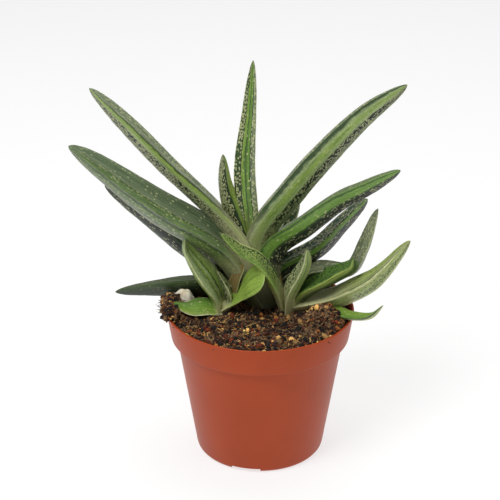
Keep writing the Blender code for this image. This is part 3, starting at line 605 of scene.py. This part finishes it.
class GASTERIA_OT_pot(bpy.types.Operator):
    """Build the nursery pot"""

    bl_idname = "gasteria.pot"
    bl_label = "Pot"

    def execute(self, context):
        looks = context.scene.gasteria_pot
        step = BAND_FOOT_HEIGHT + STEP_RISE
        outline = [
            (0.0, 0.0), (CENTRE_LAND, 0.0), (CENTRE_LAND + 1.2, UNDERSIDE_RAISE),
            (FOOT_LAND_INNER - 1.2, UNDERSIDE_RAISE), (FOOT_LAND_INNER, 0.0),
            (WALL_FOOT_RADIUS, 0.0), (WALL_TOP_RADIUS, BAND_FOOT_HEIGHT),
            (BAND_FOOT_RADIUS, BAND_FOOT_HEIGHT), (RIM_RADIUS, RIM_HEIGHT),
            (RIM_RADIUS - POT_WALL, RIM_HEIGHT), (inner_radius(step + 0.4), step + 0.4),
            (inner_radius(step - 0.4), step - 0.4), (inner_radius(6.0), 6.0),
            (inner_radius(6.0) - 2.0, FLOOR_TOP), (0.0, FLOOR_TOP)]
        lip = looks.lip_rounding / MM
        corners = {1: lip, 4: lip, 5: 3.2, 6: 0.4, 7: 0.9, 8: lip * 1.4, 9: lip * 1.4}
        bm = turned(rounded(outline, corners), looks.sides)
        pot = object_from(bm, "pot_shell", plastic_material(looks))
        cutters = []
        for index in range(NOTCHES):
            bearing = math.radians(NOTCH_BEARING) + math.tau / NOTCHES * index
            reach = NOTCH_REACH[1] - NOTCH_REACH[0]
            size = Matrix.Diagonal((reach, NOTCH_WIDTH, 2 * UNDERSIDE_RAISE, 1.0))
            place = Matrix.Translation((sum(NOTCH_REACH) / 2, 0, 0))
            notch = bmesh.new()
            bmesh.ops.create_cube(notch, size=1.0, matrix=Matrix.Rotation(bearing, 4, "Z") @ place @ size)
            cutters.append(object_from(notch, "notch", pot.data.materials[0], False))
        for index in range(DRAINS):
            bearing = math.tau * (index + 0.5) / DRAINS
            drain = bmesh.new()
            place = (DRAIN_CIRCLE * math.cos(bearing), DRAIN_CIRCLE * math.sin(bearing), 3.0)
            bmesh.ops.create_cone(
                drain, cap_ends=True, segments=24, radius1=DRAIN_RADIUS, radius2=DRAIN_RADIUS,
                depth=5.0, matrix=Matrix.Translation(place))
            cutters.append(object_from(drain, "drain", pot.data.materials[0], False))
        cut(pot, cutters)
        pot.data.set_sharp_from_angle(angle=math.radians(40))
        placed(pot, "pot_plastic", "pot")
        return {"FINISHED"}


def along(points, share):
    """Place on a smooth curve through the points, at a share of its length."""
    points = [Vector(point) for point in points]
    reach = [0.0]
    for start, end in zip(points, points[1:]):
        reach.append(reach[-1] + (end - start).length)
    wanted = share * reach[-1]
    index = max(i for i in range(len(points) - 1) if reach[i] <= wanted + 1e-9)
    span = reach[index + 1] - reach[index]
    t = (wanted - reach[index]) / span

    def slope(i):
        before, after = max(i - 1, 0), min(i + 1, len(points) - 1)
        return (points[after] - points[before]) / (reach[after] - reach[before])

    start, end = points[index], points[index + 1]
    t2, t3 = t * t, t * t * t
    return (start * (2 * t3 - 3 * t2 + 1) + slope(index) * span * (t3 - 2 * t2 + t)
            + end * (3 * t2 - 2 * t3) + slope(index + 1) * span * (t3 - t2))


def eased(share):
    """Ease a share between 0 and 1 at both its ends."""
    share = min(max(share, 0.0), 1.0)
    return share * share * (3 - 2 * share)


def leaf_size(leaf, share):
    """Half width and keel depth of a leaf at a share of its length."""
    fade = max(1.0 - share ** leaf["blunt"], 0.0) ** TIP_ROUNDNESS
    low = eased(share / MIDDLE_SHARE)
    high = eased((share - MIDDLE_SHARE) / (UPPER_SHARE - MIDDLE_SHARE))
    sizes = []
    for root, middle, upper in (leaf["width"], leaf["depth"]):
        sizes.append((root + (middle - root) * low + (upper - middle) * high) * fade)
    return max(sizes[0] / 2, TIP_RADIUS), max(sizes[1], TIP_RADIUS)


def leaf_frame(leaf, share):
    """Middle of a section, the direction across the leaf to its front margin, and of its upper face."""
    line = leaf["line"]
    step = 0.01
    ahead = along(line, min(share + step, 1.0)) - along(line, max(share - step, 0.0))
    ahead.normalize()
    lean = Vector(line[-1]) - Vector(line[0])
    lean.z = 0.0
    across = Vector((0, 0, 1)).cross(lean).normalized()
    upper = ahead.cross(across).normalized()
    across = upper.cross(ahead).normalized()
    turn = leaf["turn"][0] + (leaf["turn"][1] - leaf["turn"][0]) * share
    side = 1.0
    if across.y > 0:
        turn, side = -turn, -1.0
    roll = Matrix.Rotation(math.radians(turn), 3, -ahead)
    return along(line, share), roll @ across * side, roll @ upper


def section_point(place):
    """Corner of a leaf's section in half widths and depths, at a place of 0 to 3 over its faces."""
    if place <= 1.0:
        x = 2 * place - 1
        return x, 0.02 + 0.4133 * x * x - 0.3733 * x ** 4
    t, side = (place - 1, 1.0) if place <= 2.0 else (3 - place, -1.0)
    return side * (1 - t), 0.06 - 1.06 * (1 - (1 - t) ** 1.25) ** 0.8


def skin_material(name, looks):
    """Leaf skin: bands over the faces, streaks along them, speckles, a pale root and painted shade at the
    bases of the main rosette's leaves.
    """
    surface, tree, shader = principled(name, looks.roughness)
    skin = add(tree, "ShaderNodeUVMap", uv_map="skin").outputs["UV"]
    grain = add(tree, "ShaderNodeUVMap", uv_map="grain").outputs["UV"]
    parts = add(tree, "ShaderNodeSeparateXYZ", {"Vector": skin})
    share = parts.outputs["Y"]
    wander = add(tree, "ShaderNodeTexNoise", {"Vector": grain, "Scale": 0.22, "Detail": 4.0,
                                              "Roughness": 0.6})
    drift = maths(tree, "MULTIPLY", maths(tree, "SUBTRACT", wander.outputs["Fac"], 0.5), 0.05)
    place = maths(tree, "ADD", parts.outputs["X"], drift)
    stops = [(at / 3, (*linear(TONES[tone]), speckled)) for at, tone, speckled in SKINS[name]]
    bands = ramp(tree, place, stops)
    stretched = add(tree, "ShaderNodeMapping", {"Vector": grain, "Scale": (0.9, 0.05, 1.0)})
    streaks = add(tree, "ShaderNodeTexNoise", {"Vector": stretched.outputs["Vector"], "Scale": 1.0,
                                               "Detail": 3.0, "Roughness": 0.65})
    tone = ramp(tree, streaks.outputs["Fac"], (
        (0.36, (0.42, 0.46, 0.4, 1)), (0.48, (0.9, 0.92, 0.9, 1)), (0.68, (1.4, 1.35, 1.4, 1))))
    mottle = add(tree, "ShaderNodeTexNoise", {"Vector": grain, "Scale": 0.8, "Detail": 3.0,
                                              "Roughness": 0.7})
    dapple = ramp(tree, mottle.outputs["Fac"], ((0.35, (0.6, 0.64, 0.6, 1)), (0.65, (1.3, 1.25, 1.3, 1))))
    base = mixed(tree, 0.7, bands["Color"], tone["Color"], "MULTIPLY")
    base = mixed(tree, 0.6, base, dapple["Color"], "MULTIPLY")
    cells = add(tree, "ShaderNodeMapping", {
        "Vector": grain, "Scale": (MM / looks.speckle_spacing, 0.75 * MM / looks.speckle_spacing, 1.0)})
    dots = add(tree, "ShaderNodeTexVoronoi", {"Vector": cells.outputs["Vector"], "Scale": 1.0,
                                              "Randomness": 0.85}, voronoi_dimensions="2D")
    close = add(tree, "ShaderNodeMapRange", {"Value": dots.outputs["Distance"], "From Min": 0.5,
                                             "From Max": 0.36}).outputs["Result"]
    luck = add(tree, "ShaderNodeSeparateColor", {"Color": dots.outputs["Color"]}).outputs["Red"]
    patches = add(tree, "ShaderNodeTexNoise", {"Vector": grain, "Scale": 0.12, "Detail": 2.0})
    often = maths(tree, "MULTIPLY", bands["Alpha"],
                  maths(tree, "ADD", maths(tree, "MULTIPLY", patches.outputs["Fac"], 1.2), 0.5))
    speckles = maths(tree, "MULTIPLY", close, maths(tree, "LESS_THAN", luck, often))
    speckle = linear(TONES[SPECKLE_TONE[name]]) if name in SPECKLE_TONE else looks.speckle
    base = mixed(tree, maths(tree, "MULTIPLY", speckles, 0.8), base, speckle)
    reach = ROOT_PALING.get(name, 0.18)
    paling = add(tree, "ShaderNodeMapRange", {
        "Value": maths(tree, "ADD", share, maths(tree, "MULTIPLY", drift, 1.5)),
        "From Min": reach, "From Max": reach * 0.35}).outputs["Result"]
    base = mixed(tree, maths(tree, "MULTIPLY", paling, 0.85), base, looks.root)
    # Painted shade: the main rosette's leaf bases darken towards the soil, where the leaves shade each
    # other.
    level = add(tree, "ShaderNodeSeparateXYZ", {
        "Vector": add(tree, "ShaderNodeTexCoord").outputs["Object"]}).outputs["Z"]
    shaded = add(tree, "ShaderNodeMapRange", {
        "Value": level, "From Min": SHADE_FOOT * MM, "From Max": SHADE_TOP * MM, "To Min": 0.75,
        "To Max": 0.0}).outputs["Result"]
    if name in SHADED_BASE_LEAVES:
        base = mixed(tree, shaded, base, linear(TONES["dark"]))
    tree.links.new(base, shader.inputs["Base Color"])
    height = maths(tree, "ADD", maths(tree, "MULTIPLY", speckles, 0.6), streaks.outputs["Fac"])
    bumped(tree, shader, height, 0.18 * MM, 0.6)
    return surface


def leaf_bmesh(leaf):
    """A keeled leaf wrapped from a grid: columns round its section and rows from root to tip."""
    length = sum((Vector(b) - Vector(a)).length for a, b in zip(leaf["line"], leaf["line"][1:]))
    columns = 3 * FACE_COLUMNS
    rows = max(12, round(length / ROW_SPACING))
    bm = bmesh.new()
    bm.loops.layers.uv.new("skin")
    bmesh.ops.create_grid(bm, x_segments=columns, y_segments=rows, size=0.5, calc_uvs=True)
    skin = bm.loops.layers.uv["skin"]
    grain = bm.loops.layers.uv.new("grain")
    corners = [section_point(3 * column / columns) for column in range(columns + 1)]
    frames = []
    for row in range(rows + 1):
        share = 1.0 - (1.0 - row / rows) ** 1.35
        frames.append((share, leaf_frame(leaf, share), leaf_size(leaf, share)))
    widest = max(leaf["width"])
    girth = widest * 1.15
    for vert in bm.verts:
        column = round((vert.co.x + 0.5) * columns)
        row = round((vert.co.y + 0.5) * rows)
        share, (centre, across, upper), (half, depth) = frames[row]
        x, y = corners[column]
        flat = across * (x * half) + upper * ((y + LINE_OVER_KEEL) * depth)
        point = centre + flat
        swell = 0.12 * noise.noise(point * 0.22) + 0.05 * noise.noise(point * 0.9)
        if flat.length > 0:
            point += flat.normalized() * swell * min(1.0, half / 3)
        for loop in vert.link_loops:
            loop[skin].uv = (column / columns, share)
            loop[grain].uv = (3 * girth * column / columns, share * length)
        vert.co = point
    bmesh.ops.remove_doubles(bm, verts=bm.verts, dist=WELD)
    open_edges = [edge for edge in bm.edges if edge.is_boundary]
    bmesh.ops.holes_fill(bm, edges=open_edges, sides=0)
    bmesh.ops.recalc_face_normals(bm, faces=bm.faces)
    return bm


class GASTERIA_OT_leaves(bpy.types.Operator):
    """Build every leaf with its bands and speckles"""

    bl_idname = "gasteria.leaves"
    bl_label = "Leaves"

    def execute(self, context):
        looks = context.scene.gasteria_leaves
        for name, leaf in LEAVES.items():
            obj = object_from(leaf_bmesh(leaf), name.replace("leaf_", "skin_"), skin_material(name, looks))
            obj.data.set_sharp_from_angle(angle=math.radians(50))
            placed(obj, leaf["slot"], name)
        return {"FINISHED"}


class GASTERIA_OT_stems(bpy.types.Operator):
    """Build the short stems under the rosettes"""

    bl_idname = "gasteria.stems"
    bl_label = "Stems"

    def execute(self, context):
        surface, _, shader = principled("stem_skin", 0.6)
        shader.inputs["Base Color"].default_value = (*linear((150, 148, 100)), 1.0)
        for crown, (x, y, foot, top, height) in CROWNS.items():
            bm = bmesh.new()
            bmesh.ops.create_cone(
                bm, cap_ends=True, segments=48, radius1=foot, radius2=top,
                depth=height - STEM_FOOT, matrix=Matrix.Translation((x, y, (height + STEM_FOOT) / 2)))
            obj = object_from(bm, "crown_" + crown, surface)
            obj.data.set_sharp_from_angle(angle=math.radians(40))
            placed(obj, "stem", "stem_" + crown)
        return {"FINISHED"}


def soil_height(x, y, fine=True):
    """Height of the soil's uneven top."""
    height = SOIL_LEVEL
    for heap_x, heap_y, radius, rise in HEAPS:
        away = math.hypot(x - heap_x, y - heap_y) / radius
        height += rise * math.exp(-away * away)
    for layer, (breadth, rise) in enumerate(RELIEF if fine else RELIEF[:2]):
        height += rise * noise.noise(Vector((x / breadth, y / breadth, 2.0 + 7.0 * (1 - layer))))
    return height


def soil_material(looks):
    """Dark peat with browner flecks, tinted by each crumb's own shade."""
    surface, tree, shader = principled("potting_soil_grain", 0.95)
    coords = add(tree, "ShaderNodeTexCoord").outputs["Object"]
    shade = add(tree, "ShaderNodeVertexColor", layer_name="shade").outputs["Color"]
    flecks = add(tree, "ShaderNodeTexNoise", {"Vector": coords, "Scale": 700.0, "Detail": 5.0,
                                              "Roughness": 0.7})
    dark = [channel * 0.35 for channel in looks.peat]
    base = ramp(tree, flecks.outputs["Fac"], (
        (0.36, (*dark, 1)), (0.52, (*looks.peat, 1)), (0.68, (*looks.bark, 1))))["Color"]
    tree.links.new(mixed(tree, 1.0, base, shade, "MULTIPLY"), shader.inputs["Base Color"])
    bumped(tree, shader, flecks.outputs["Fac"], 0.5 * MM, 0.8)
    return surface


def crumb_material():
    """Bark, peat and fibre, tinted by each crumb's own shade."""
    surface, tree, shader = principled("crumbs", 0.9)
    coords = add(tree, "ShaderNodeTexCoord").outputs["Object"]
    shade = add(tree, "ShaderNodeVertexColor", layer_name="shade").outputs["Color"]
    flecks = add(tree, "ShaderNodeTexNoise", {"Vector": coords, "Scale": 1500.0, "Detail": 3.0})
    tone = ramp(tree, flecks.outputs["Fac"], ((0.3, (0.5, 0.5, 0.5, 1)), (0.7, (1.3, 1.3, 1.3, 1))))
    tree.links.new(mixed(tree, 1.0, shade, tone["Color"], "MULTIPLY"), shader.inputs["Base Color"])
    return surface


def leaf_trees():
    """Search trees of all the leaves that stand in the scene."""
    trees = []
    for name in LEAVES:
        obj = bpy.data.objects[name.replace("leaf_", "skin_")]
        trees.append(BVHTree.FromPolygons(
            [vert.co / MM for vert in obj.data.vertices],
            [tuple(face.vertices) for face in obj.data.polygons]))
    return trees


def lumpy(bm, centre, radii, detail, roughness):
    """Add a crumb to the bmesh: a sphere with a noisy surface, stretched to its radii."""
    made = bmesh.ops.create_icosphere(bm, subdivisions=detail, radius=1.0)["verts"]
    for vert in made:
        co = vert.co.copy()
        rough = roughness * noise.noise(co * 1.7 + Vector(centre))
        rough += 0.3 * roughness * noise.noise(co * 6.0 + Vector(centre))
        vert.co = Vector(centre) + Vector([a * b for a, b in zip(co * (1.0 + rough), radii)])
    return made


class GASTERIA_OT_soil(bpy.types.Operator):
    """Build the potting soil with its fine relief and the clump over the rim"""

    bl_idname = "gasteria.soil"
    bl_label = "Soil"

    def execute(self, context):
        looks = context.scene.gasteria_soil
        trees = leaf_trees()
        shoulder = SOIL_LEVEL - 2.0
        edge = inner_radius(shoulder) - 0.3
        step = BAND_FOOT_HEIGHT + STEP_RISE
        outline = [
            (0.0, FLOOR_TOP + 0.3), (inner_radius(6.0) - 2.3, FLOOR_TOP + 0.3),
            (inner_radius(6.0) - 0.3, 6.6), (inner_radius(step - 0.4) - 0.3, step),
            (inner_radius(step + 0.4) - 0.3, step + 0.8), (edge, shoulder)]
        rings = 70
        for ring in range(1, rings + 1):
            outline.append((edge * (1 - ring / rings), SOIL_LEVEL))
        bm = turned(outline, 200)
        for vert in bm.verts:
            if vert.co.z <= shoulder + 0.3:
                continue
            x, y = vert.co.x, vert.co.y
            height = soil_height(x, y) - EDGE_FALL * (math.hypot(x, y) / edge) ** EDGE_FALL_POWER
            start = Vector((x, y, BAND_FOOT_HEIGHT))
            for tree in trees:
                hit = tree.ray_cast(start, Vector((0, 0, 1)))[0]
                if hit:
                    height = min(height, hit.z - UNDER_LEAF)
            vert.co.z = height
        lumpy(bm, CLUMP_PLACE, CLUMP_SIZE, 5, 0.5)
        shade = bm.loops.layers.color.new("shade")
        for face in bm.faces:
            for loop in face.loops:
                loop[shade] = (1, 1, 1, 1)
        soil = object_from(bm, "soil_bed", soil_material(looks))
        placed(soil, "soil", "potting_soil")
        return {"FINISHED"}


def crumb_place(chance, trees):
    """A random point on the soil's open top and whether it is the clump's."""
    while True:
        if chance.random() < 0.12:
            turn, lift = chance.uniform(0, math.tau), chance.uniform(-0.3, 1.0)
            flat = math.sqrt(1 - lift * lift)
            way = (flat * math.cos(turn), flat * math.sin(turn), lift)
            point = Vector([c + s * w for c, s, w in zip(CLUMP_PLACE, CLUMP_SIZE, way)])
            if math.hypot(point.x, point.y) > inner_radius(84) - 0.5 and point.z < RIM_HEIGHT + 0.5:
                continue
        else:
            reach = (inner_radius(SOIL_LEVEL) - 1.0) * math.sqrt(chance.random())
            turn = chance.uniform(0, math.tau)
            x, y = reach * math.cos(turn), reach * math.sin(turn)
            point = Vector((x, y, soil_height(x, y)))
        if all(tree.ray_cast(Vector((point.x, point.y, BAND_FOOT_HEIGHT)), Vector((0, 0, 1)))[0] is None
               or tree.find_nearest(point)[3] > 1.5 for tree in trees):
            return point


def crumb_shade(chance, darks):
    """Colour of one crumb or fibre: a share is dark, the rest runs from brown to pale."""
    if chance.random() < darks:
        tone = (70, 52, 36)
    else:
        tone = chance.choice(((138, 96, 56), (164, 108, 58), (188, 150, 100), (224, 200, 156)))
    dim = chance.uniform(0.75, 1.2)
    return (*linear([min(255, channel * dim) for channel in tone]), 1.0)


def strewn(name, template, places, surface):
    """One mesh of many copies of a template bmesh, each at its own place and in its own shade."""
    mesh = bpy.data.meshes.new("template")
    template.to_mesh(mesh)
    template.free()
    bm = bmesh.new()
    shade = bm.loops.layers.color.new("shade")
    size = len(mesh.vertices)
    faces = len(mesh.polygons)
    for matrix, colour, bend in places:
        bm.from_mesh(mesh)
        bm.verts.ensure_lookup_table()
        bm.faces.ensure_lookup_table()
        for vert in bm.verts[-size:]:
            if bend:
                vert.co.x += bend * vert.co.z * vert.co.z
            vert.co = matrix @ vert.co
        for face in bm.faces[-faces:]:
            for loop in face.loops:
                loop[shade] = colour
    bpy.data.meshes.remove(mesh)
    return object_from(bm, name, surface)


class GASTERIA_OT_crumbs(bpy.types.Operator):
    """Strew crumbs and fibres over the soil"""

    bl_idname = "gasteria.crumbs"
    bl_label = "Crumbs and fibres"

    def execute(self, context):
        looks = context.scene.gasteria_soil
        chance = random.Random(5)
        trees = leaf_trees()
        surface = crumb_material()
        crumbs, fibres = [], []
        for _ in range(looks.crumbs):
            radius = looks.crumb_size / MM * chance.uniform(0.4, 1.0) * chance.choice((1, 1, 1, 1.4, 2.4))
            turn = Matrix.Rotation(chance.uniform(0, math.tau), 4, Vector((
                chance.uniform(-1, 1), chance.uniform(-1, 1), chance.uniform(-1, 1) + 0.01)))
            size = Matrix.Diagonal((radius * chance.uniform(0.8, 1.7), radius, radius * 0.7, 1.0))
            point = crumb_place(chance, trees)
            crumbs.append((Matrix.Translation(point) @ turn @ size, crumb_shade(chance, 0.5), 0.0))
        for _ in range(looks.fibres):
            length, girth = chance.uniform(2.5, 9.0), chance.uniform(0.08, 0.22)
            turn = Matrix.Rotation(chance.uniform(0, math.tau), 4, "Z")
            tip = Matrix.Rotation(math.radians(chance.uniform(60, 100)), 4, "X")
            size = Matrix.Diagonal((girth * 2, girth, length, 1.0))
            point = crumb_place(chance, trees) + Vector((0, 0, 0.4))
            matrix = Matrix.Translation(point) @ turn @ tip @ size
            fibres.append((matrix, crumb_shade(chance, 0.15), chance.uniform(-4.0, 4.0)))
        ball = bmesh.new()
        bmesh.ops.create_icosphere(ball, subdivisions=1, radius=1.0)
        for vert in ball.verts:
            vert.co *= 1.0 + 0.35 * noise.noise(vert.co * 2.3)
        placed(strewn("soil_crumbs", ball, crumbs, surface), "soil")
        thread = bmesh.new()
        ring = bmesh.ops.create_circle(thread, segments=4, radius=1.0, cap_ends=False)["verts"]
        edges = list(thread.edges)
        bmesh.ops.translate(thread, vec=(0, 0, -0.5), verts=ring)
        for joint in range(1, 7):
            grown = bmesh.ops.extrude_edge_only(thread, edges=edges)["geom"]
            ring = [item for item in grown if isinstance(item, bmesh.types.BMVert)]
            edges = [item for item in grown if isinstance(item, bmesh.types.BMEdge)]
            bmesh.ops.translate(thread, vec=(0, 0, 1 / 6), verts=ring)
            taper = 0.92 - 0.03 * joint
            bmesh.ops.scale(thread, vec=(taper, taper, 1.0), verts=ring)
        bmesh.ops.holes_fill(thread, edges=[e for e in thread.edges if e.is_boundary], sides=0)
        in_order(thread)
        bmesh.ops.recalc_face_normals(thread, faces=thread.faces)
        placed(strewn("soil_fibres", thread, fibres, surface), "soil")
        return {"FINISHED"}


class GASTERIA_OT_stone(bpy.types.Operator):
    """Build the pale half-round stone"""

    bl_idname = "gasteria.stone"
    bl_label = "Stone"

    def execute(self, context):
        surface, tree, shader = principled("pale_stone_skin", 0.75)
        coords = add(tree, "ShaderNodeTexCoord").outputs["Object"]
        cloud = add(tree, "ShaderNodeTexNoise", {"Vector": coords, "Scale": 260.0, "Detail": 4.0})
        shades = ramp(tree, cloud.outputs["Fac"], (
            (0.35, (*linear((226, 210, 178)), 1)), (0.6, (*linear((252, 246, 224)), 1))))
        tree.links.new(shades["Color"], shader.inputs["Base Color"])
        bumped(tree, shader, cloud.outputs["Fac"], 0.4 * MM, 0.7)
        bm = bmesh.new()
        bmesh.ops.create_icosphere(bm, subdivisions=5, radius=1.0)
        for vert in bm.verts:
            co = vert.co
            if co.z < 0:
                co.z *= 0.25
            co += co.normalized() * (0.08 * noise.noise(co * 2.1) + 0.02 * noise.noise(co * 8.0))
            if co.x < -0.7:
                co.z += STONE_BEAK * (-co.x - 0.7) / 0.3
        low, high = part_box("pale_stone")
        width, breadth, height = STONE_SIZE
        bmesh.ops.scale(bm, vec=(width / 2, breadth / 2, height), verts=bm.verts)
        foot = high.z / MM - max(vert.co.z for vert in bm.verts)
        bmesh.ops.translate(bm, vec=(*STONE_PLACE, foot), verts=bm.verts)
        placed(object_from(bm, "stone", surface), "stone", "pale_stone")
        return {"FINISHED"}


def area_light(name, place, aim, size, power):
    """A soft square light at a place, turned to its aim."""
    lamp = bpy.data.lights.new(name, "AREA")
    lamp.shape = "SQUARE"
    lamp.size = size
    lamp.energy = power
    obj = bpy.data.objects.new(name, lamp)
    obj.location = place
    obj.rotation_euler = (Vector(aim) - Vector(place)).to_track_quat("-Z", "Y").to_euler()
    bpy.context.scene.collection.objects.link(obj)


class GASTERIA_OT_stage(bpy.types.Operator):
    """Build the plain floor, the soft lights and the camera"""

    bl_idname = "gasteria.stage"
    bl_label = "Stage"

    def execute(self, context):
        looks = context.scene.gasteria_stage
        surface, _, shader = principled("floor", 0.9)
        shader.inputs["Base Color"].default_value = (*looks.floor, 1.0)
        shader.inputs["Specular IOR Level"].default_value = 0.0
        shader.inputs["Emission Color"].default_value = (1, 1, 1, 1)
        shader.inputs["Emission Strength"].default_value = looks.glow
        bm = bmesh.new()
        bmesh.ops.create_grid(bm, x_segments=1, y_segments=1, size=8000.0)
        floor = object_from(bm, "floor", surface, False)
        aim = Vector(looks.aim)
        area_light("key", (-0.45, -0.55, 1.1), aim, 0.5, 9.0)
        area_light("fill", (0.8, -0.6, 0.7), aim, 0.8, 1.5)
        area_light("top", (0.1, 0.35, 1.3), aim, 0.9, 7.0)
        world = bpy.data.worlds.new("studio")
        world.use_nodes = True
        world.node_tree.nodes["Background"].inputs["Color"].default_value = (1, 1, 1, 1)
        world.node_tree.nodes["Background"].inputs["Strength"].default_value = 0.22
        context.scene.world = world
        camera = bpy.data.objects.new("camera", bpy.data.cameras.new("camera"))
        camera.data.lens = looks.lens
        camera.data.sensor_width = 36.0
        back = Vector((0.0, -math.cos(looks.elevation), math.sin(looks.elevation)))
        camera.location = aim + back * looks.distance
        camera.rotation_euler = (-back).to_track_quat("-Z", "Y").to_euler()
        context.scene.collection.objects.link(camera)
        context.scene.camera = camera
        context.scene.view_settings.view_transform = "Standard"
        return {"FINISHED"}


OPERATORS = (
    GASTERIA_OT_pot, GASTERIA_OT_leaves, GASTERIA_OT_stems, GASTERIA_OT_soil,
    GASTERIA_OT_crumbs, GASTERIA_OT_stone, GASTERIA_OT_stage)


class GASTERIA_PT_panel(bpy.types.Panel):
    """Lists the pieces of the potted gasteria"""

    bl_idname = "GASTERIA_PT_panel"
    bl_label = "Potted gasteria"
    bl_space_type = "VIEW_3D"
    bl_region_type = "UI"
    bl_category = "Gasteria"

    def draw(self, context):
        for operator in OPERATORS:
            self.layout.operator(operator.bl_idname)
        for name, group in GROUPS.items():
            looks = getattr(context.scene, name)
            for key in group.__annotations__:
                self.layout.prop(looks, key)


GROUPS = {
    "gasteria_pot": PotLooks,
    "gasteria_soil": SoilLooks,
    "gasteria_leaves": LeafLooks,
    "gasteria_stage": StageLooks,
}
CLASSES = (*GROUPS.values(), *OPERATORS, GASTERIA_PT_panel)


def register():
    for made in CLASSES:
        bpy.utils.register_class(made)
    for name, group in GROUPS.items():
        setattr(bpy.types.Scene, name, PointerProperty(type=group))


def unregister():
    for name in GROUPS:
        delattr(bpy.types.Scene, name)
    for made in reversed(CLASSES):
        bpy.utils.unregister_class(made)


def main():
    register()
    bpy.ops.gasteria.pot()
    bpy.ops.gasteria.leaves()
    bpy.ops.gasteria.stems()
    bpy.ops.gasteria.soil()
    bpy.ops.gasteria.crumbs()
    bpy.ops.gasteria.stone()
    bpy.ops.gasteria.stage()


if __name__ == "__main__":
    main()
